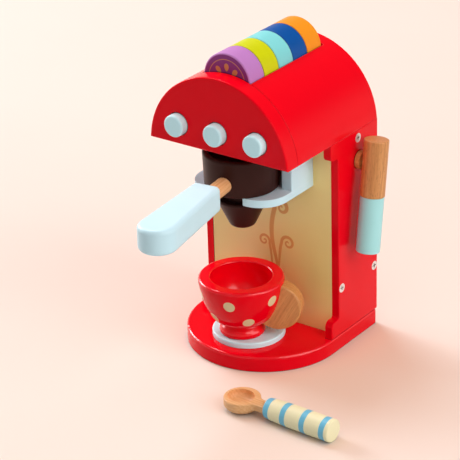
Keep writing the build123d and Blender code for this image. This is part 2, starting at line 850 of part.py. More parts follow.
for index, colour in enumerate(("purple", "yellow", "mint", "blue", "orange")):
    keep(f"pod_{colour}", pod(index))
keep("scoop_bowl", scoop_bowl())
keep("scoop_handle", scoop_handle())

os.makedirs("parts", exist_ok=True)
for name, shape in node_shapes.items():
    export_step(shape, f"parts/{name}.step")
print(len(node_shapes), "nodes written")
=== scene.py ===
"""Finishes, printed ornament, springs, lights and camera for a child's wooden coffee maker.

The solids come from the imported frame. This script gives each of them its finish, prints the
steam scroll on the front board, winds the springs behind the buttons, and sets up a small
studio round the toy.
"""

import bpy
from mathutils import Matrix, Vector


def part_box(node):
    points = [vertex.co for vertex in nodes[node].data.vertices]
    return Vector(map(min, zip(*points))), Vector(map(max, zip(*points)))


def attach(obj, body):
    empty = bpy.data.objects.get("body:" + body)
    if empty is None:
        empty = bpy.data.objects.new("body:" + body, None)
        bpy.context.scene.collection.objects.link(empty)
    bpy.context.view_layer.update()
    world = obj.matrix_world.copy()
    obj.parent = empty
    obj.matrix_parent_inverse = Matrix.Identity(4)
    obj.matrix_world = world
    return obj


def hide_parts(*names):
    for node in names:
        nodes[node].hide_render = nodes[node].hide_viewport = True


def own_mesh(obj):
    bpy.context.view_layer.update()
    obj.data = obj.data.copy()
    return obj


bl_info = {
    "name": "Toy coffee maker finishes",
    "version": (1, 0, 0),
    "blender": (4, 5, 0),
    "location": "3D View > Sidebar > Coffee maker",
    "description": "Paints, timber, print, lights and camera for a wooden toy coffee maker",
    "category": "Object",
}

import math

import bmesh
import bpy
from bpy.props import FloatProperty, FloatVectorProperty, PointerProperty
from mathutils import Matrix, Vector

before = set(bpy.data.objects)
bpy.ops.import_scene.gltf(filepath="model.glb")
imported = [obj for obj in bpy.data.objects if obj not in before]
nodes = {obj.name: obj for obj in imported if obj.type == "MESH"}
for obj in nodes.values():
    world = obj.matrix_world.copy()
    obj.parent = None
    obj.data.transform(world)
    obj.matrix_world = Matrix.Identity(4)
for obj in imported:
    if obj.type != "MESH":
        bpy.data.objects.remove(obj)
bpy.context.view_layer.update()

MM = 0.001
WHITE, BLACK = (1, 1, 1), (0, 0, 0)
PAINTED_GAP_SHADE = (0.02, 0.004, 0.004)  # painted shade, the dark that shows in a narrow gap between lacquered boards
PAINTED_SLOT_SHADE = (0.03, 0.03, 0.03)      # painted shade in the slots of a screw head


# ---- Colours ------------------------------------------------------------------------

def srgb(red, green, blue):
    """A screen colour, 0 to 255 for each part, as the linear colour that shaders use."""
    def linear(part):
        part /= 255
        return part / 12.92 if part <= 0.04045 else ((part + 0.055) / 1.055) ** 2.4
    return linear(red), linear(green), linear(blue)


def colour_property(label, note, default):
    """A colour that a user may change, kept as a linear colour."""
    return FloatVectorProperty(
        name=label, description=note, subtype="COLOR", size=3, min=0, max=1, default=default)


def length_property(label, note, default_mm):
    """A length that a user may change. Its default is given in millimetres."""
    return FloatProperty(
        name=label, description=note, unit="LENGTH", min=0, default=default_mm * MM)


def power_property(label, note, watts):
    """The power of one lamp."""
    return FloatProperty(name=label, description=note, unit="POWER", min=0, default=watts)


class CoffeePaints(bpy.types.PropertyGroup):
    """Colours of the paints, the timber and the steel."""

    red: colour_property("Red", "Lacquer of the body and the cup", srgb(248, 0, 24))
    shine: colour_property("Shine", "Tint of the deep lacquers' shine", srgb(255, 190, 190))
    tan: colour_property("Tan", "Paint of the front board", srgb(255, 225, 140))
    ink: colour_property("Ink", "Print on the front board", srgb(232, 166, 88))
    ice_blue: colour_property("Ice blue", "Paint of the push buttons", srgb(218, 250, 255))
    pale_blue: colour_property("Pale blue", "Paint of the cradle and the paddle",
                               srgb(211, 238, 246))
    hot_plate: colour_property("Hot plate", "Paint of the hot plate", srgb(214, 250, 255))
    brown: colour_property("Brown", "Lacquer of the filter", srgb(56, 26, 21))
    aqua: colour_property("Aqua", "Paint of the wand's lower part", srgb(178, 230, 228))
    cream: colour_property("Cream", "Paint of the scoop's handle", srgb(255, 238, 192))
    band: colour_property("Band", "Bands on the scoop's handle", srgb(112, 190, 220))
    spot: colour_property("Spot", "Spots on the cup", srgb(236, 204, 156))
    timber_light: colour_property("Light timber", "Early wood", srgb(228, 156, 90))
    timber_dark: colour_property("Dark timber", "Late wood", srgb(196, 120, 62))
    timber_pore: colour_property("Pores", "Flecks in the timber", srgb(160, 92, 48))
    bare_timber: colour_property("Bare timber", "Unvarnished wood", srgb(248, 188, 134))
    steel: colour_property("Steel", "Screws, springs and washer", srgb(240, 240, 240))


class CoffeePods(bpy.types.PropertyGroup):
    """Side and face colours of the five pods, and sizes of the print on their faces."""

    purple: colour_property("Purple", "Side of the purple pod", srgb(198, 128, 194))
    purple_face: colour_property("Purple face", "Its printed face", srgb(140, 62, 138))
    yellow: colour_property("Yellow", "Side of the yellow pod", srgb(214, 212, 0))
    yellow_face: colour_property("Yellow face", "Its printed face", srgb(176, 168, 20))
    mint: colour_property("Mint", "Side of the mint pod", srgb(136, 216, 216))
    mint_face: colour_property("Mint face", "Its printed face", srgb(84, 166, 164))
    blue: colour_property("Blue", "Side of the blue pod", srgb(0, 80, 158))
    blue_face: colour_property("Blue face", "Its printed face", srgb(6, 52, 116))
    orange: colour_property("Orange", "Side of the orange pod", srgb(252, 150, 26))
    orange_face: colour_property("Orange face", "Its printed face", srgb(200, 92, 22))
    print_tan: colour_property("Print", "Ring and rosette on each face", srgb(214, 150, 96))
    ring_radius: length_property("Ring radius", "Printed ring's radius", 14.9)
    ring_width: length_property("Ring width", "Printed ring's line", 0.5)
    petal_radius: length_property("Petal radius", "Middle of the rosette's petals", 9.4)
    petal_length: length_property("Petal length", "Length of one petal", 5.6)


class CoffeePrints(bpy.types.PropertyGroup):
    """Sizes of the printed and painted marks."""

    spot_radius: length_property("Spot radius", "Radius of the cup's spots", 4.3)
    band_width: length_property("Band width", "Width of the scoop's bands", 4.2)
    first_band: length_property("First band", "Width of the band at the neck", 5.4)
    stroke_width: length_property("Stroke", "Widest line of the steam scroll", 3.8)
    stroke_end: length_property("Stroke end", "Line at the end of each curl", 0.9)
    stroke_height: length_property("Film", "How far the ink stands off the board", 0.06)


class CoffeeSprings(bpy.types.PropertyGroup):
    """The springs behind the buttons."""

    wire: length_property("Wire", "Radius of the spring's wire", 0.5)
    turns: FloatProperty(name="Turns", description="Open turns between the closed end turns",
                         min=1, default=5)
    travel: length_property("Travel", "How far a button goes in", 4.0)


class CoffeeStudio(bpy.types.PropertyGroup):
    """Camera, lamps and floor."""

    lens: FloatProperty(name="Lens", description="Focal length in millimetres",
                        min=1, default=168.785)
    azimuth: FloatProperty(name="Azimuth", description="Camera's turn from the front",
                           subtype="ANGLE", default=0.637976)
    elevation: FloatProperty(name="Elevation", description="Camera's height angle",
                             subtype="ANGLE", default=0.446405)
    roll: FloatProperty(name="Roll", description="Camera's tilt", subtype="ANGLE",
                        default=-0.029940)
    camera_place: FloatVectorProperty(name="Camera", description="Camera's position",
                                      subtype="TRANSLATION", size=3,
                                      default=(0.80894, -1.13155, 0.75100))
    floor: colour_property("Floor", "Paper that the toy stands on", (0.56, 0.60, 0.59))
    floor_glow: colour_property("Floor glow", "What the camera sees added to the floor",
                                (0.40, 0.11, 0.01))
    sky_tint: colour_property("Sky tint", "Colour of the light from all round",
                              (0.92, 1.0, 1.02))
    sky: FloatProperty(name="Sky", description="Strength of the light from all round",
                       min=0, default=0.2)
    backdrop: FloatProperty(name="Backdrop", description="Strength of the pale wall all round",
                            min=0, default=1.0)
    backdrop_tint: colour_property("Backdrop tint", "Colour of the pale wall",
                                   (1.0, 0.91, 0.82))
    window_low: power_property("Low window", "Lamp low on the left", 58)
    window_high: power_property("High window", "Lamp high on the left, behind the toy", 37)
    right_high: power_property("High right lamp", "Lamp above the toy's right side", 32)
    right_low: power_property("Low right lamp", "Lamp level with the toy's right side", 27)
    top: power_property("Top lamp", "Wide lamp overhead", 13)
    front: power_property("Front lamp", "Weak fill in front", 7.5)


# ---- Shader nodes -------------------------------------------------------------------

class Graph:
    """Short ways to add and join the nodes of one shader tree."""

    def __init__(self, tree):
        self.tree = tree

    def add(self, kind, inputs=None, **settings):
        """A new node with its settings, and with values or links fed to its inputs."""
        node = self.tree.nodes.new(kind)
        for name, value in settings.items():
            setattr(node, name, value)
        for key, value in (inputs or {}).items():
            self.feed(node.inputs[key], value)
        return node

    def feed(self, socket, value):
        """Links another node's output to a socket, or sets the socket to a value."""
        if isinstance(value, bpy.types.NodeSocket):
            self.tree.links.new(value, socket)
        elif hasattr(socket.default_value, "__len__") and len(socket.default_value) == 4:
            socket.default_value = (*value[:3], 1)
        else:
            socket.default_value = value

    def group(self, name, inputs=None):
        """The outputs of a shared shader group, placed in this tree."""
        return self.add("ShaderNodeGroup", inputs, node_tree=bpy.data.node_groups[name]).outputs

    def math(self, operation, *values, clamp=False):
        """What a maths node makes of its values."""
        node = self.add("ShaderNodeMath", operation=operation, use_clamp=clamp)
        for socket, value in zip(node.inputs, values):
            self.feed(socket, value)
        return node.outputs[0]

    def vector(self, operation, *values):
        """What a vector maths node makes of its values."""
        node = self.add("ShaderNodeVectorMath", operation=operation)
        for socket, value in zip(node.inputs, values):
            self.feed(socket, value)
        return node.outputs["Value" if operation in ("LENGTH", "DISTANCE", "DOT_PRODUCT")
                            else "Vector"]

    def scale(self, colour, amount):
        """A colour or vector times an amount."""
        return self.add("ShaderNodeVectorMath", {0: colour, "Scale": amount},
                        operation="SCALE").outputs["Vector"]

    def mix(self, factor, first, second):
        """A blend from the first colour to the second."""
        node = self.add("ShaderNodeMix", data_type="RGBA")
        colour_a, colour_b = node.inputs[6], node.inputs[7]
        self.feed(node.inputs["Factor"], factor)
        self.feed(colour_a, first)
        self.feed(colour_b, second)
        return node.outputs[2]

    def step(self, value, start, end, low=0.0, high=1.0):
        """Goes smoothly from low to high as value goes from start to end."""
        return self.add("ShaderNodeMapRange", {
            "Value": value, "From Min": start, "From Max": end, "To Min": low, "To Max": high,
        }, interpolation_type="SMOOTHSTEP").outputs["Result"]

    def noise(self, place, scale, detail=2.0, roughness=0.5):
        """Soft noise, which mostly lies between 0.3 and 0.7."""
        return self.add("ShaderNodeTexNoise", {
            "Vector": place, "Scale": scale, "Detail": detail, "Roughness": roughness,
        }).outputs["Fac"]

    def stretched_noise(self, place, scales, detail, roughness):
        """Noise with its own scale along each axis, for fibres and pores."""
        return self.noise(self.vector("MULTIPLY", place, scales), 1, detail, roughness)

    def bump(self, height, strength, distance):
        """The surface's direction, tilted by small bumps."""
        return self.add("ShaderNodeBump", {
            "Height": height, "Strength": strength, "Distance": distance}).outputs["Normal"]

    def place(self):
        """The point on the piece, in the toy's own frame."""
        return self.add("ShaderNodeTexCoord").outputs["Object"]

    def normal(self):
        """The surface's own direction, without bump."""
        return self.add("ShaderNodeNewGeometry").outputs["Normal"]

    def parts(self, place):
        """The X, Y and Z of a place or direction."""
        return self.add("ShaderNodeSeparateXYZ", {0: place}).outputs


def new_group(name, inputs, outputs):
    """An empty shader group: its tree, and the sockets that go in and come out."""
    tree = bpy.data.node_groups.new(name, "ShaderNodeTree")
    for label, kind, default in inputs:
        socket = tree.interface.new_socket(name=label, in_out="INPUT", socket_type=kind)
        if default is not None:
            socket.default_value = default
    for label, kind in outputs:
        tree.interface.new_socket(name=label, in_out="OUTPUT", socket_type=kind)
    graph = Graph(tree)
    return graph, graph.add("NodeGroupInput").outputs, graph.add("NodeGroupOutput").inputs


NUMBER, COLOUR, VECTOR = "NodeSocketFloat", "NodeSocketColor", "NodeSocketVector"
FINISH = [("Color", COLOUR), ("Roughness", NUMBER), ("Normal", VECTOR)]


def build_edge_group():
    """A mask of narrow strips along edges, where paint is thin and a highlight is painted."""
    flat, turned = 0.995, 0.86  # likeness of the plain normal to the rounded one
    graph, given, out = new_group(
        "edge strip", [("Radius", NUMBER, 0.8 * MM)], [("Mask", NUMBER)])
    rounded = graph.add("ShaderNodeBevel", {"Radius": given["Radius"]}, samples=6)
    likeness = graph.vector("DOT_PRODUCT", rounded.outputs[0], graph.normal())
    graph.feed(out["Mask"], graph.step(likeness, flat, turned))


def build_crevice_shade_group():
    """A mask of narrow gaps and recesses, found by ambient occlusion, for painted shade there.
    Undersides are left out of it.
    """
    open_share, closed_share = 0.8, 0.3  # of the directions round a point
    underside, side = -0.98, -0.7        # how far the normal points up
    graph, given, out = new_group(
        "crevice", [("Reach", NUMBER, 1.2 * MM)], [("Mask", NUMBER)])
    round_about = graph.add("ShaderNodeAmbientOcclusion", {"Distance": given["Reach"]}, samples=8)
    narrow = graph.step(round_about.outputs["AO"], open_share, closed_share)
    rise = graph.parts(graph.normal())["Z"]
    graph.feed(out["Mask"], graph.math("MULTIPLY", narrow, graph.step(rise, underside, side)))


def build_paint_group():
    """Sprayed paint or lacquer on sanded wood."""
    graph, given, out = new_group("sprayed paint", [
        ("Place", VECTOR, None), ("Paint", COLOUR, (0.5, 0.5, 0.5, 1)),
        ("Cloud", NUMBER, 0.05), ("Gloss", NUMBER, 0.3), ("Peel", NUMBER, 0.1),
        ("Thin Edge", NUMBER, 0.1), ("Full Edge", NUMBER, 0.0), ("Gap", NUMBER, 0.0)],
        FINISH + [("Lacquer", NUMBER)])
    place = given["Place"]
    cloud = graph.noise(place, scale=38, detail=3, roughness=0.55)
    fine = graph.noise(place, scale=420, detail=2, roughness=0.6)
    hand_marks = graph.noise(place, scale=75, detail=4, roughness=0.6)
    orange_peel = graph.noise(place, scale=650)
    fibre = graph.stretched_noise(place, (160, 160, 14), detail=3, roughness=0.6)

    # The colour has a faint cloud. It is paler along an edge, where paint is thin and a
    # highlight is painted, and painted shade darkens it in a gap.
    shade = graph.math("MULTIPLY_ADD", graph.math("SUBTRACT", cloud, 0.5), given["Cloud"], 1.0)
    thin = graph.math("MULTIPLY", graph.group("edge strip")["Mask"], given["Thin Edge"])
    rubbed_and_highlit = graph.math("MULTIPLY", thin, graph.step(fine, 0.35, 0.6))
    pale = graph.mix(0.45, given["Paint"], WHITE)
    worn_and_highlit = graph.mix(rubbed_and_highlit, graph.scale(given["Paint"], shade), pale)
    gap_shade = graph.math("MULTIPLY", graph.group("crevice")["Mask"], given["Gap"])
    graph.feed(out["Color"], graph.mix(gap_shade, worn_and_highlit, PAINTED_GAP_SHADE))

    # Thick lacquer on the roundings of upper edges, which look up but not straight up.
    rise = graph.parts(graph.normal())["Z"]
    rounding = graph.math("MULTIPLY", graph.step(rise, 0.05, 0.3), graph.step(rise, 0.99, 0.93))
    graph.feed(out["Lacquer"], graph.math("MULTIPLY", rounding, given["Full Edge"]))

    # Handling and dust dull the gloss in places, and the wood's fibre shows faintly.
    handled = graph.step(hand_marks, 0.45, 0.75, high=0.07)
    speckle = graph.step(fine, 0.4, 0.7, high=0.03)
    graph.feed(out["Roughness"], graph.math(
        "ADD", graph.math("ADD", given["Gloss"], handled), speckle))
    height = graph.math("ADD", graph.math("MULTIPLY", orange_peel, 0.6), fibre)
    graph.feed(out["Normal"], graph.bump(height, given["Peel"], 0.25 * MM))


def build_timber_group():
    """Varnished beech. Its grain runs along the X of the place that it is given."""
    sway_reach = 5 * MM                  # how far the growth rings wander
    heart_y, heart_z = 31 * MM, 12 * MM  # from the piece to the heart of the tree
    graph, given, out = new_group("beech", [
        ("Place", VECTOR, None), ("Light", COLOUR, (0.8, 0.6, 0.4, 1)),
        ("Dark", COLOUR, (0.5, 0.3, 0.15, 1)), ("Pore", COLOUR, (0.3, 0.15, 0.08, 1)),
        ("Ring Width", NUMBER, 2.2 * MM), ("Fleck", NUMBER, 0.7)], FINISH)
    place = given["Place"]
    sway = graph.stretched_noise(place, (14, 70, 70), detail=2, roughness=0.5)
    fibre = graph.stretched_noise(place, (30, 900, 900), detail=4, roughness=0.65)
    dash = graph.stretched_noise(place, (260, 2600, 2600), detail=1, roughness=0.5)

    _, y, z = graph.parts(place)
    across = graph.add("ShaderNodeCombineXYZ", {
        "Y": graph.math("ADD", y, heart_y), "Z": graph.math("ADD", z, heart_z)}).outputs[0]
    radius = graph.math("MULTIPLY_ADD", sway, sway_reach, graph.vector("LENGTH", across))
    turns = graph.math("DIVIDE", radius, given["Ring Width"])
    ring = graph.step(graph.math("PINGPONG", turns, 0.5), 0.02, 0.5)
    tone = graph.math("ADD", graph.math("MULTIPLY", ring, 0.3),
                      graph.step(fibre, 0.3, 0.72, high=0.6), clamp=True)
    fleck = graph.math("MULTIPLY", graph.step(dash, 0.58, 0.74), given["Fleck"])
    grain = graph.mix(tone, given["Light"], given["Dark"])
    graph.feed(out["Color"], graph.mix(fleck, grain, given["Pore"]))
    graph.feed(out["Roughness"], graph.step(fibre, 0.3, 0.7, low=0.40, high=0.52))
    height = graph.math("SUBTRACT", graph.math("MULTIPLY", fibre, 0.5), fleck)
    graph.feed(out["Normal"], graph.bump(height, 0.35, 0.12 * MM))


def build_steel_group():
    """Bright plated steel with fine turning marks and a few dull patches."""
    graph, given, out = new_group("plated steel", [
        ("Place", VECTOR, None), ("Steel", COLOUR, (0.6, 0.6, 0.6, 1))], FINISH)
    patch = graph.noise(given["Place"], scale=700, detail=3, roughness=0.6)
    fine = graph.noise(given["Place"], scale=4200)
    tint = graph.scale(given["Steel"], graph.step(patch, 0.3, 0.7, low=0.85, high=1.05))
    # Painted shade: the slots and recesses of the steel are darkened towards near-black.
    recess_shade = graph.group("crevice", {"Reach": 1.0 * MM})["Mask"]
    graph.feed(out["Color"], graph.mix(recess_shade, tint, PAINTED_SLOT_SHADE))
    graph.feed(out["Roughness"], graph.step(patch, 0.3, 0.7, low=0.32, high=0.5))
    graph.feed(out["Normal"], graph.bump(fine, 0.25, 0.05 * MM))


# ---- Materials ----------------------------------------------------------------------

def new_material(name):
    """An empty material: the material, its graph and its Principled shader."""
    material = bpy.data.materials.new(name)
    material.use_nodes = True
    material.node_tree.nodes.clear()
    graph = Graph(material.node_tree)
    shader = graph.add("ShaderNodeBsdfPrincipled")
    graph.add("ShaderNodeOutputMaterial", {"Surface": shader.outputs[0]})
    return material, graph, shader


def use_finish(graph, shader, group, inputs, coat_roughness=0.12):
    """Puts a finish group in a material and joins it to the shader."""
    finish = graph.group(group, inputs)
    graph.feed(shader.inputs["Base Color"], finish["Color"])
    graph.feed(shader.inputs["Roughness"], finish["Roughness"])
    graph.feed(shader.inputs["Normal"], finish["Normal"])
    if inputs.get("Full Edge"):
        graph.feed(shader.inputs["Coat Weight"], finish["Lacquer"])
        shader.inputs["Coat Roughness"].default_value = coat_roughness


def set_shine(shader, level, tint=WHITE):
    """How strongly a finish mirrors. A deep lacquer's tint takes the white haze off it."""
    shader.inputs["Specular IOR Level"].default_value = level
    shader.inputs["Specular Tint"].default_value = (*tint, 1)


# The edge setting pales the paint along edges, partly as wear and partly as a painted highlight.
def paint_material(name, colour, gloss=0.3, peel=0.12, cloud=0.06, edge_wear_highlight=0.15,
                   full_edge=0.0, gap_shade=0.0, shine=0.5, shine_tint=WHITE):
    """Paint of one colour. Gloss is the roughness of its smoothest places."""
    material, graph, shader = new_material(name)
    set_shine(shader, shine, shine_tint)
    use_finish(graph, shader, "sprayed paint", {
        "Place": graph.place(), "Paint": colour, "Gloss": gloss, "Peel": peel,
        "Cloud": cloud, "Thin Edge": edge_wear_highlight, "Full Edge": full_edge, "Gap": gap_shade})
    return material


def grain_place(graph, origin, direction):
    """Coordinates with X along the grain, from an origin on the piece."""
    turn = Vector((1, 0, 0)).rotation_difference(Vector(direction)).to_euler()
    return graph.add("ShaderNodeMapping", {
        "Vector": graph.place(), "Location": tuple(origin), "Rotation": tuple(turn),
    }, vector_type="TEXTURE").outputs["Vector"]


def timber_material(name, origin, direction, ring_width, fleck=0.7, bare=False):
    """Beech with its grain along a direction and its rings a width apart, in millimetres."""
    paints = bpy.context.scene.coffee_paints
    material, graph, shader = new_material(name)
    use_finish(graph, shader, "beech", {
        "Place": grain_place(graph, origin, direction),
        "Light": paints.bare_timber if bare else paints.timber_light,
        "Dark": paints.timber_light if bare else paints.timber_dark,
        "Pore": paints.timber_dark if bare else paints.timber_pore,
        "Ring Width": ring_width * MM, "Fleck": fleck})
    return material


def steel_material(name):
    """Steel of the screws, the washer and the springs."""
    material, graph, shader = new_material(name)
    use_finish(graph, shader, "plated steel", {
        "Place": graph.place(), "Steel": bpy.context.scene.coffee_paints.steel})
    shader.inputs["Metallic"].default_value = 1.0
    return material


def dress(material, *names):
    """Gives solids of the frame their finish."""
    for name in names:
        for slot in nodes[name].material_slots:
            slot.material = material


def centre(name):
    """The middle of a solid's box."""
    low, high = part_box(name)
    return (low + high) / 2


# ---- Printed and painted marks ------------------------------------------------------

def spotted_material(name, colour, spot_colour, centres, radius, shine_tint):
    """Gloss red with round spots, each about a centre on the surface."""
    far_off, wobble_reach = 1.0, 0.2 * MM
    paint_reach, paint_full = radius + 0.15 * MM, radius - 0.05 * MM  # a spot's soft rim
    material, graph, shader = new_material(name)
    set_shine(shader, 0.2, shine_tint)
    place = graph.place()
    nearest = far_off
    for point in centres:
        nearest = graph.math("MINIMUM", graph.vector("DISTANCE", place, tuple(point)), nearest)
    wobble = graph.math("MULTIPLY", graph.noise(place, scale=900, detail=1), wobble_reach)
    spot = graph.step(graph.math("ADD", nearest, wobble), paint_reach, paint_full)
    use_finish(graph, shader, "sprayed paint", {
        "Place": place, "Paint": graph.mix(spot, colour, spot_colour), "Gloss": 0.1,
        "Peel": 0.04, "Cloud": 0.05, "Thin Edge": 0.3, "Full Edge": 0.8}, coat_roughness=0.2)
    return material


def pod_material(name, side, face, centre_point, half_thickness, half_width):
    """A pod: its own colour round the side, and a printed ring and rosette on both faces."""
    rim, soft = 1.1 * MM, 0.2 * MM  # the print stops at the rim's rounding
    side_edge = half_thickness - 0.5 * MM
    petals, petal_spread = 8, 0.7
    pods = bpy.context.scene.coffee_pods
    material, graph, shader = new_material(name)
    set_shine(shader, 0.2)
    place = graph.place()
    x, y, z = graph.parts(graph.vector("SUBTRACT", place, tuple(centre_point)))
    flat = graph.add("ShaderNodeCombineXYZ", {"X": x, "Z": z}).outputs[0]
    radius = graph.vector("LENGTH", flat)
    depth = graph.math("ABSOLUTE", y)
    on_face = graph.step(depth, side_edge, side_edge + soft)
    inside = graph.step(radius, half_width - rim, half_width - rim - soft)
    printed = graph.math("MULTIPLY", on_face, inside)

    off_ring = graph.math("ABSOLUTE", graph.math("SUBTRACT", radius, pods.ring_radius))
    ring = graph.step(off_ring, pods.ring_width * 0.65, pods.ring_width * 0.4)

    # Each petal is an oval: how far a point is from its middle, outwards and sideways.
    outwards = graph.math("DIVIDE", graph.math("SUBTRACT", radius, pods.petal_radius),
                          pods.petal_length / 2)
    swing = graph.math("SINE", graph.math("MULTIPLY", graph.math("ARCTAN2", x, z), petals / 2))
    sideways = graph.math("DIVIDE", swing, petal_spread)
    petal = graph.step(graph.math("ADD", graph.math("MULTIPLY", outwards, outwards),
                                  graph.math("MULTIPLY", sideways, sideways)), 1.1, 0.95)
    mark = graph.math("MULTIPLY", graph.math("MAXIMUM", ring, petal), printed)
    colour = graph.mix(mark, graph.mix(printed, side, face), pods.print_tan)
    # Painted shade darkens the narrow gaps between the pods.
    use_finish(graph, shader, "sprayed paint", {
        "Place": place, "Paint": colour, "Gloss": 0.42, "Peel": 0.14,
        "Cloud": 0.08, "Thin Edge": 0.2, "Gap": 0.8})
    return material


def banded_material(name, cream, band, start, direction, edges):
    """Cream paint with bands across the handle, between pairs of distances along it."""
    soft, wobble_reach = 0.2 * MM, 0.5 * MM
    material, graph, shader = new_material(name)
    place = graph.place()
    along = graph.vector("DOT_PRODUCT", graph.vector("SUBTRACT", place, tuple(start)),
                         tuple(direction))
    wobble = graph.math("MULTIPLY_ADD", graph.noise(place, scale=240), wobble_reach, along)
    mask = 0.0
    for low, high in edges:
        inside = graph.math("MULTIPLY", graph.step(wobble, low, low + soft),
                            graph.step(wobble, high + soft, high))
        mask = graph.math("MAXIMUM", inside, mask)
    use_finish(graph, shader, "sprayed paint", {
        "Place": place, "Paint": graph.mix(mask, cream, band), "Gloss": 0.38,
        "Peel": 0.16, "Cloud": 0.08, "Thin Edge": 0.2})
    return material


def spiral(middle, radius, turns, start_angle, spin, count=40):
    """Points of a curl that winds from its outside to its middle, on the board."""
    tightening = 0.8
    points = []
    for step in range(count + 1):
        share = step / count
        angle = start_angle + spin * share * turns * 2 * math.pi
        reach = radius * (1 - share) ** tightening
        points.append((middle[0] + reach * math.cos(angle), middle[1] + reach * math.sin(angle)))
    return points


def bezier(start, pull_start, pull_end, end, count=24):
    """Points of a smooth line from start to end, bent towards its two pulls."""
    corners = (start, pull_start, pull_end, end)
    points = []
    for step in range(count + 1):
        t = step / count
        weights = ((1 - t) ** 3, 3 * t * (1 - t) ** 2, 3 * t * t * (1 - t), t ** 3)
        points.append(tuple(sum(w * c[i] for w, c in zip(weights, corners)) for i in (0, 1)))
    return points


def wisp(foot, pull_foot, pull_curl, middle, radius, turns, start_angle, spin):
    """A stem that rises from its foot and winds up in a curl."""
    curl = spiral(middle, radius, turns, math.radians(start_angle), spin)
    return bezier(foot, pull_foot, pull_curl, curl[0])[:-1] + curl


def add_stroke(mesh, points, widths, lift, board_y):
    """One inked line on the board, of the widths at its foot, its fullest place and its end."""
    foot, full, end = widths
    lean, fullness = 0.7, 1.5  # the line is fullest a little below its middle, and tapers softly
    rows = []
    for index, (x, z) in enumerate(points):
        before = Vector(points[max(index - 1, 0)])
        after = Vector(points[min(index + 1, len(points) - 1)])
        heading = (after - before).normalized()
        side = Vector((-heading.y, heading.x))
        share = index / (len(points) - 1)
        swell = math.sin(math.pi * share ** lean) ** fullness
        half = (foot + (end - foot) * share + (full - foot) * swell) / 2
        rows.append([
            mesh.verts.new((x * MM + side.x * half * way, board_y - depth,
                            z * MM + side.y * half * way))
            for depth in (0, lift) for way in (-1, 1)])
    for first, second in zip(rows, rows[1:]):
        for a, b in ((0, 1), (1, 3), (3, 2), (2, 0)):
            mesh.faces.new((first[a], first[b], second[b], second[a]))
    mesh.faces.new((rows[0][2], rows[0][3], rows[0][1], rows[0][0]))
    mesh.faces.new((rows[-1][0], rows[-1][1], rows[-1][3], rows[-1][2]))


def finished_mesh(name, mesh):
    """The bmesh as a mesh of Blender's own, with every face looking outwards."""
    bmesh.ops.recalc_face_normals(mesh, faces=mesh.faces)
    data = bpy.data.meshes.new(name)
    mesh.to_mesh(data)
    mesh.free()
    return data


def coil_mesh(name, middle, radius, ends, wire, turns, per_turn=28, sides=10):
    """A round-wire spring along Y about a middle, between two ends, its end turns closed."""
    low, high = ends
    lead = 2.1 * wire  # a closed turn lies on the next one
    opening = high - low - 2 * wire - 2 * lead
    mesh = bmesh.new()
    rings = []
    for index in range(round((turns + 2) * per_turn) + 1):
        turn = index / per_turn
        rise = lead * min(turn, 1) + opening * min(max(turn - 1, 0), turns) / turns
        rise += lead * max(turn - turns - 1, 0)
        angle = 2 * math.pi * turn
        outward = Vector((math.cos(angle), 0, math.sin(angle)))
        heart = Vector((middle.x, low + wire + rise, middle.z)) + outward * radius
        ring = []
        for side in range(sides):
            slant = 2 * math.pi * side / sides
            ring.append(mesh.verts.new(
                heart + (outward * math.cos(slant) + Vector((0, math.sin(slant), 0))) * wire))
        rings.append(ring)
    for first, second in zip(rings, rings[1:]):
        for side in range(sides):
            after = (side + 1) % sides
            face = mesh.faces.new((first[side], first[after], second[after], second[side]))
            face.smooth = True
    mesh.faces.new(rings[0])
    mesh.faces.new(rings[-1])
    return finished_mesh(name, mesh)


# ---- Operators ----------------------------------------------------------------------

class FinishOperator:
    """What the operators share."""

    bl_options = {"REGISTER", "UNDO"}


class COFFEE_OT_groups(FinishOperator, bpy.types.Operator):
    """Build the shared shader groups"""

    bl_idname = "coffee.groups"
    bl_label = "Shared finishes"

    def execute(self, context):
        build_edge_group()
        build_crevice_shade_group()
        build_paint_group()
        build_timber_group()
        build_steel_group()
        return {"FINISHED"}


class COFFEE_OT_red_body(FinishOperator, bpy.types.Operator):
    """Lacquer the base, the panels, the back and the head in gloss red"""

    bl_idname = "coffee.red_body"
    bl_label = "Red body"

    def execute(self, context):
        paints = context.scene.coffee_paints
        # The gap setting paints shade dark into the narrow gaps between the boards.
        finish = {"gloss": 0.15, "peel": 0.05, "cloud": 0.05, "gap_shade": 0.9,
                  "shine": 0.15, "shine_tint": paints.shine}
        dress(paint_material("red lacquer", paints.red, **finish),
              "side_panel_left", "side_panel_right", "back_board",
              "head_front_plate", "head_shell", "head_floor", "head_back_plate")
        dress(paint_material("red lacquer of the base", paints.red, full_edge=1.0, **finish),
              "base_plate")
        return {"FINISHED"}


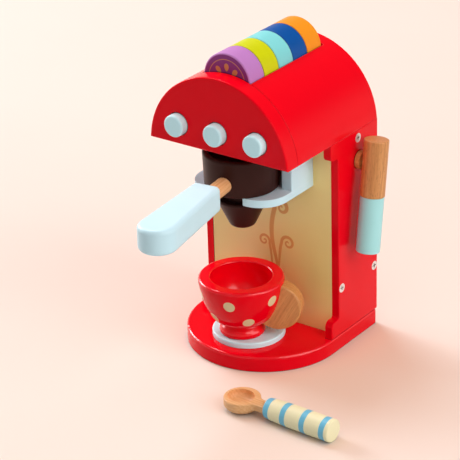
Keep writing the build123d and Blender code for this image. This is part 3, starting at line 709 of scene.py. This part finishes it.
class COFFEE_OT_front_board(FinishOperator, bpy.types.Operator):
    """Paint the front board and print the steam scroll on it"""

    bl_idname = "coffee.front_board"
    bl_label = "Front board"

    # For each wisp: its foot and two pulls, its curl's middle, radius, turns, start and spin,
    # in millimetres across and up the board and in degrees; then its share of the full line.
    wisps = (
        ((3.5, 44), (10, 58), (-6, 70), (9.6, 101), 6.4, 1.45, 196, -1, 1.0),
        ((1.5, 46), (0, 56), (0, 64), (-6.2, 71.5), 5.0, 1.4, -20, 1, 0.5),
        ((5.5, 48), (7, 56), (7, 68), (14.6, 74), 5.6, 1.4, 186, -1, 0.62),
    )
    foot_share = 0.3   # of the line's full width
    overlap = 0.2      # of a film, by which each line lies above the one that it crosses

    def execute(self, context):
        scene = context.scene
        paints, prints = scene.coffee_paints, scene.coffee_prints
        dress(paint_material("tan paint", paints.tan, gloss=0.38, peel=0.08, cloud=0.08,
                             shine=0.9), "front_board")
        board_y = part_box("front_board")[0].y
        mesh = bmesh.new()
        for index, (*course, share) in enumerate(self.wisps):
            full = prints.stroke_width * share
            widths = (full * self.foot_share, full, prints.stroke_end)
            lift = prints.stroke_height * (1 + self.overlap * index)
            add_stroke(mesh, wisp(*course), widths, lift, board_y)
        data = finished_mesh("steam_print", mesh)
        piece = bpy.data.objects.new("steam_print", data)
        scene.collection.objects.link(piece)
        data.materials.append(paint_material("brown ink", paints.ink, gloss=0.45, cloud=0.25,
                                             edge_wear_highlight=0.0))
        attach(piece, "housing")
        return {"FINISHED"}


class COFFEE_OT_steel(FinishOperator, bpy.types.Operator):
    """Plate the screws and the washer"""

    bl_idname = "coffee.steel"
    bl_label = "Screws and washer"

    def execute(self, context):
        dress(steel_material("plated steel"), "side_screws", "base_screws", "head_screws",
              "cradle_screws", "wand_washer", "wand_screw", "button_screw_left",
              "button_screw_middle", "button_screw_right")
        return {"FINISHED"}


class COFFEE_OT_springs(FinishOperator, bpy.types.Operator):
    """Wind the springs behind the buttons"""

    bl_idname = "coffee.springs"
    bl_label = "Button springs"

    def execute(self, context):
        scene = context.scene
        springs = scene.coffee_springs
        steel = steel_material("spring steel")
        for side in ("left", "middle", "right"):
            low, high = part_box(f"button_spring_{side}")
            middle = (low + high) / 2
            radius = (high.x - low.x) / 2 - springs.wire
            data = coil_mesh(f"button_coil_{side}", middle, radius, (low.y, high.y),
                             springs.wire, springs.turns)
            coil = bpy.data.objects.new(f"button_coil_{side}", data)
            scene.collection.objects.link(coil)
            data.materials.append(steel)
            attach(coil, "housing")
            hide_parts(f"button_spring_{side}")
            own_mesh(coil)
        return {"FINISHED"}


class COFFEE_OT_inner_timber(FinishOperator, bpy.types.Operator):
    """Leave the hidden boards, the tray and the rail in bare sawn wood"""

    bl_idname = "coffee.inner_timber"
    bl_label = "Inner timber"

    log = (0, 0, 0.2)  # one place in the head, from which all these pieces' grain is counted

    def execute(self, context):
        along_y = timber_material("bare wood along the head", self.log, (0, 1, 0),
                                  ring_width=3.0, fleck=0.5, bare=True)
        along_x = timber_material("bare wood across the head", self.log, (1, 0, 0),
                                  ring_width=3.0, fleck=0.5, bare=True)
        dress(along_y, "pod_tray", "button_collar_left", "button_collar_middle",
              "button_collar_right")
        dress(along_x, "top_board", "tray_bearers", "button_rail")
        return {"FINISHED"}


class COFFEE_OT_buttons(FinishOperator, bpy.types.Operator):
    """Paint the push buttons"""

    bl_idname = "coffee.buttons"
    bl_label = "Push buttons"

    def execute(self, context):
        # Painted shade darkens each button where it meets its hole in the plate.
        paint = paint_material("ice blue paint", context.scene.coffee_paints.ice_blue,
                               gloss=0.3, peel=0.1, edge_wear_highlight=0.5, gap_shade=0.9)
        dress(paint, "button_left", "button_middle", "button_right")
        return {"FINISHED"}


class COFFEE_OT_pods(FinishOperator, bpy.types.Operator):
    """Paint the pods and print their faces"""

    bl_idname = "coffee.pods"
    bl_label = "Pods"

    def execute(self, context):
        pods = context.scene.coffee_pods
        for colour in ("purple", "yellow", "mint", "blue", "orange"):
            low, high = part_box(f"pod_{colour}")
            half = (high - low) / 2
            paint = pod_material(f"{colour} pod", getattr(pods, colour),
                                 getattr(pods, f"{colour}_face"), low + half,
                                 half_thickness=half.y, half_width=half.x)
            dress(paint, f"pod_{colour}")
        return {"FINISHED"}


class COFFEE_OT_cradle(FinishOperator, bpy.types.Operator):
    """Paint the cradle, the paddle and the hot plate"""

    bl_idname = "coffee.cradle"
    bl_label = "Cradle, paddle and hot plate"

    def execute(self, context):
        paints = context.scene.coffee_paints
        finish = {"gloss": 0.36, "peel": 0.1, "edge_wear_highlight": 0.5}
        dress(paint_material("pale blue paint", paints.pale_blue, **finish),
              "cradle_plate", "cradle_wall_left", "cradle_wall_right", "handle_paddle")
        dress(paint_material("hot plate paint", paints.hot_plate, **finish), "hotplate")
        return {"FINISHED"}


class COFFEE_OT_filter(FinishOperator, bpy.types.Operator):
    """Lacquer the filter in dark brown, with its dowel left in timber"""

    bl_idname = "coffee.filter"
    bl_label = "Filter"

    def execute(self, context):
        dress(paint_material("brown lacquer", context.scene.coffee_paints.brown, gloss=0.34,
                             edge_wear_highlight=0.08, shine=0.12), "filter_cup", "filter_spout")
        low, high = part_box("handle_dowel")
        size = high - low
        # The level dowel's box is wider than it is high by what it runs sideways.
        axis = Vector((size.x - size.z, -size.y, 0)).normalized()
        dress(timber_material("dowel timber", centre("handle_dowel"), axis,
                              ring_width=1.6, fleck=0.4, bare=True), "handle_dowel")
        return {"FINISHED"}


class COFFEE_OT_wand(FinishOperator, bpy.types.Operator):
    """Varnish the wand's upper part and peg, and paint its lower part"""

    bl_idname = "coffee.wand"
    bl_label = "Steam wand"

    def execute(self, context):
        top, tip = centre("wand_handle"), centre("wand_nozzle")
        dress(timber_material("wand timber", top, (top - tip).normalized(), ring_width=2.6),
              "wand_handle")
        dress(timber_material("peg timber", centre("wand_peg"), (1, 0, 0), ring_width=1.8),
              "wand_peg")
        dress(paint_material("aqua paint", context.scene.coffee_paints.aqua, gloss=0.36,
                             peel=0.12, edge_wear_highlight=0.3), "wand_nozzle")
        return {"FINISHED"}


class COFFEE_OT_cup(FinishOperator, bpy.types.Operator):
    """Lacquer the cup with its spots, and varnish its handle"""

    bl_idname = "coffee.cup"
    bl_label = "Cup"

    # Each row of spots: degrees round the cup from the front, then radius and height in
    # millimetres.
    rows_of_spots = (
        ((18, 83, 145, 203, 262, 319), 29.6, 33.1),
        ((-18, 46.5, 107, 167, 226, 284), 24.5, 18.1),
    )
    grain_run, grain_rise = 0.5, 0.86  # how the grain of the cup's handle slopes

    def execute(self, context):
        paints, prints = context.scene.coffee_paints, context.scene.coffee_prints
        axis, foot = centre("cup"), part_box("cup")[0].z
        spots = []
        for angles, radius, height in self.rows_of_spots:
            for angle in map(math.radians, angles):
                spots.append((axis.x + radius * MM * math.sin(angle),
                              axis.y - radius * MM * math.cos(angle), foot + height * MM))
        dress(spotted_material("spotted red lacquer", paints.red, paints.spot, spots,
                               prints.spot_radius, paints.shine), "cup")
        handle = centre("cup_handle")
        outward = Vector((handle.x - axis.x, handle.y - axis.y, 0)).normalized()
        grain = (outward * self.grain_run + Vector((0, 0, self.grain_rise))).normalized()
        dress(timber_material("cup handle timber", handle, grain, ring_width=2.4, fleck=0.45),
              "cup_handle")
        return {"FINISHED"}


class COFFEE_OT_scoop(FinishOperator, bpy.types.Operator):
    """Varnish the scoop's bowl and paint its banded handle"""

    bl_idname = "coffee.scoop"
    bl_label = "Scoop"

    band_starts = (15.4, 31.6, 47.6)  # millimetres along the handle
    past_the_end = 1.0                # the first band goes on round the handle's end

    def execute(self, context):
        paints, prints = context.scene.coffee_paints, context.scene.coffee_prints
        bowl, handle = centre("scoop_bowl"), centre("scoop_handle")
        direction = Vector((handle.x - bowl.x, handle.y - bowl.y, 0)).normalized()
        low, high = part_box("scoop_handle")
        start = handle - direction * (high.x - low.x) / 2
        edges = [(-self.past_the_end * MM, prints.first_band)]
        edges += [(s * MM, s * MM + prints.band_width) for s in self.band_starts]
        dress(banded_material("banded cream paint", paints.cream, paints.band, start,
                              direction, edges), "scoop_handle")
        dress(timber_material("scoop timber", bowl, direction, ring_width=2.0, fleck=0.3,
                              bare=True), "scoop_bowl")
        return {"FINISHED"}


class COFFEE_OT_studio(FinishOperator, bpy.types.Operator):
    """Set up the floor, the lamps and the camera"""

    bl_idname = "coffee.studio"
    bl_label = "Studio"

    floor_reach = 4.5
    floor_sides = 96
    opening_rim = 2.5 * MM      # floor that stays under the base's edge
    paper_reach = 1.0           # from here outwards the paper turns into the wall,
    wall_reach = 2.2            # and from here it has the wall's colour
    contact_shade_reach = 25 * MM     # how far from the toy the floor's glow fades, a painted contact shadow
    wall_height = math.radians(25)  # how high the wall shows in the toy's gloss
    lamp_reach = 3.0
    sensor_width = 36.0         # millimetres

    # For each lamp: degrees round from the front and up, size, colour, and whether the toy's
    # gloss shows it.
    lamps = {
        "window_low": (-95, 25, 1.4, (1.0, 0.98, 1.0), True),
        "window_high": (-115, 60, 1.2, (0.93, 1.0, 1.06), True),
        "right_high": (80, 40, 2.0, (1.03, 1.0, 0.96), True),
        "right_low": (100, 12, 2.0, (0.98, 1.0, 1.02), True),
        "top": (0, 89, 2.4, (1.05, 1.0, 0.95), False),
        "front": (12, 38, 2.0, (1.0, 1.0, 1.0), False),
    }

    def execute(self, context):
        scene = context.scene
        studio = scene.coffee_studio
        scene.view_settings.view_transform = "Standard"
        floor = bpy.data.objects.new("floor", self.floor_mesh())
        scene.collection.objects.link(floor)
        floor.data.materials.append(self.paper_material(studio))
        scene.world = self.make_sky(studio)
        for name, (azimuth, elevation, size, colour, mirrored) in self.lamps.items():
            lamp = self.make_lamp(name, math.radians(azimuth), math.radians(elevation))
            lamp.data.size = size
            lamp.data.color = colour
            lamp.data.energy = getattr(studio, name)
            lamp.visible_glossy = mirrored
            scene.collection.objects.link(lamp)
        scene.camera = self.make_camera(studio)
        scene.collection.objects.link(scene.camera)
        return {"FINISHED"}

    def floor_mesh(self):
        """A round sheet, open under the base, so that light reaches the toy's underside."""
        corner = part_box("base_plate")[1]
        half_width, back_edge = corner.x - self.opening_rim, corner.y - self.opening_rim
        count = self.floor_sides
        opening, outside = [], []
        for index in range(count):
            angle = 2 * math.pi * index / count
            across, back = math.cos(angle), math.sin(angle)
            reach = half_width
            if back > 0:  # the base is round in front and square behind
                reach = min(half_width / max(abs(across), 0.01), back_edge / back)
            opening.append((across * reach, back * reach, 0))
            outside.append((across * self.floor_reach, back * self.floor_reach, 0))
        faces = [(i, count + i, count + (i + 1) % count, (i + 1) % count) for i in range(count)]
        data = bpy.data.meshes.new("floor")
        data.from_pydata(opening + outside, [], faces)
        return data

    def paper_material(self, studio):
        """Pale paper, which far from the toy is only the wall's colour, with no light on it."""
        material, graph, shader = new_material("paper floor")
        place = graph.place()
        cloud = graph.step(graph.noise(place, scale=6), 0.3, 0.7, low=0.985)
        far = graph.step(graph.vector("LENGTH", place), self.paper_reach, self.wall_reach)
        paper = graph.scale(tuple(studio.floor), cloud)
        graph.feed(shader.inputs["Base Color"], graph.mix(far, paper, BLACK))
        shader.inputs["Roughness"].default_value = 0.7
        shader.inputs["Specular IOR Level"].default_value = 0.2
        backs = graph.add("ShaderNodeNewGeometry").outputs["Backfacing"]
        graph.feed(shader.inputs["Alpha"], graph.math("SUBTRACT", 1.0, backs))

        path = graph.add("ShaderNodeLightPath").outputs
        seen = graph.math("MAXIMUM", path["Is Camera Ray"], path["Is Glossy Ray"])
        seen = graph.math("MAXIMUM", seen, path["Is Transmission Ray"])
        # Fading the glow near the toy paints a contact shadow round it.
        contact_shade_ao = graph.add("ShaderNodeAmbientOcclusion", {"Distance": self.contact_shade_reach},
                             samples=16)
        seen = graph.math("MULTIPLY", seen, graph.step(contact_shade_ao.outputs["AO"], 0.1, 0.9, low=0.1))
        glow = graph.mix(far, tuple(studio.floor_glow), tuple(studio.backdrop_tint))
        graph.feed(shader.inputs["Emission Color"], graph.scale(glow, seen))
        shader.inputs["Emission Strength"].default_value = 1.0
        return material

    def make_sky(self, studio):
        """Weak light from all round. What looks at the sky sees a pale wall instead."""
        world = bpy.data.worlds.new("studio sky")
        world.use_nodes = True
        world.node_tree.nodes.clear()
        graph = Graph(world.node_tree)
        path = graph.add("ShaderNodeLightPath").outputs
        mirrored = graph.math("MAXIMUM", path["Is Glossy Ray"], path["Is Transmission Ray"])
        height = graph.parts(graph.add("ShaderNodeTexCoord").outputs["Generated"])["Z"]
        wall = graph.step(height, math.sin(self.wall_height), 0)
        seen = graph.math("MAXIMUM", graph.math("MULTIPLY", mirrored, wall),
                          path["Is Camera Ray"])
        strength = graph.math("MULTIPLY_ADD", seen, studio.backdrop - studio.sky, studio.sky)
        tint = graph.mix(seen, tuple(studio.sky_tint), tuple(studio.backdrop_tint))
        back = graph.add("ShaderNodeBackground", {"Color": tint, "Strength": strength})
        graph.add("ShaderNodeOutputWorld", {"Surface": back.outputs[0]})
        return world

    def make_lamp(self, name, azimuth, elevation):
        """A round soft lamp that looks at the toy, its azimuth counted from the front."""
        away = Vector((math.sin(azimuth) * math.cos(elevation),
                       -math.cos(azimuth) * math.cos(elevation), math.sin(elevation)))
        light = bpy.data.lights.new(name, "AREA")
        light.shape = "DISK"
        lamp = bpy.data.objects.new(name, light)
        lamp.location = away * self.lamp_reach
        lamp.rotation_euler = away.to_track_quat("Z", "Y").to_euler()
        return lamp

    def make_camera(self, studio):
        """A camera turned, raised and rolled by the studio's angles."""
        turn, rise, roll = studio.azimuth, studio.elevation, studio.roll
        back = Vector((math.sin(turn) * math.cos(rise), -math.cos(turn) * math.cos(rise),
                       math.sin(rise)))
        level = Vector((math.cos(turn), math.sin(turn), 0))
        upright = back.cross(level)
        right = level * math.cos(roll) + upright * math.sin(roll)
        up = upright * math.cos(roll) - level * math.sin(roll)
        data = bpy.data.cameras.new("camera")
        data.lens = studio.lens
        data.sensor_width = self.sensor_width
        camera = bpy.data.objects.new("camera", data)
        axes = Matrix((right, up, back)).transposed().to_4x4()
        camera.matrix_world = Matrix.Translation(studio.camera_place) @ axes
        return camera


class COFFEE_PT_sidebar(bpy.types.Panel):
    """Lists the finishes in the 3D view's sidebar"""

    bl_label = "Coffee maker"
    bl_idname = "COFFEE_PT_sidebar"
    bl_space_type = "VIEW_3D"
    bl_region_type = "UI"
    bl_category = "Coffee maker"

    def draw(self, context):
        for operator in OPERATORS:
            self.layout.operator(operator.bl_idname)
        for settings in SETTINGS:
            group = getattr(context.scene, settings)
            box = self.layout.box()
            for name in group.bl_rna.properties.keys():
                if name not in ("rna_type", "name"):
                    box.prop(group, name)


SETTINGS = {
    "coffee_paints": CoffeePaints,
    "coffee_pods": CoffeePods,
    "coffee_prints": CoffeePrints,
    "coffee_springs": CoffeeSprings,
    "coffee_studio": CoffeeStudio,
}
OPERATORS = (
    COFFEE_OT_groups, COFFEE_OT_red_body, COFFEE_OT_front_board, COFFEE_OT_steel,
    COFFEE_OT_springs, COFFEE_OT_inner_timber, COFFEE_OT_buttons, COFFEE_OT_pods,
    COFFEE_OT_cradle, COFFEE_OT_filter, COFFEE_OT_wand, COFFEE_OT_cup, COFFEE_OT_scoop,
    COFFEE_OT_studio,
)


def register():
    for group in SETTINGS.values():
        bpy.utils.register_class(group)
    for name, group in SETTINGS.items():
        setattr(bpy.types.Scene, name, PointerProperty(type=group))
    for operator in OPERATORS:
        bpy.utils.register_class(operator)
    bpy.utils.register_class(COFFEE_PT_sidebar)


def unregister():
    bpy.utils.unregister_class(COFFEE_PT_sidebar)
    for operator in reversed(OPERATORS):
        bpy.utils.unregister_class(operator)
    for name, group in SETTINGS.items():
        delattr(bpy.types.Scene, name)
        bpy.utils.unregister_class(group)


def main():
    """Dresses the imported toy."""
    register()
    for operator in OPERATORS:
        family, name = operator.bl_idname.split(".")
        getattr(getattr(bpy.ops, family), name)()


if __name__ == "__main__":
    main()
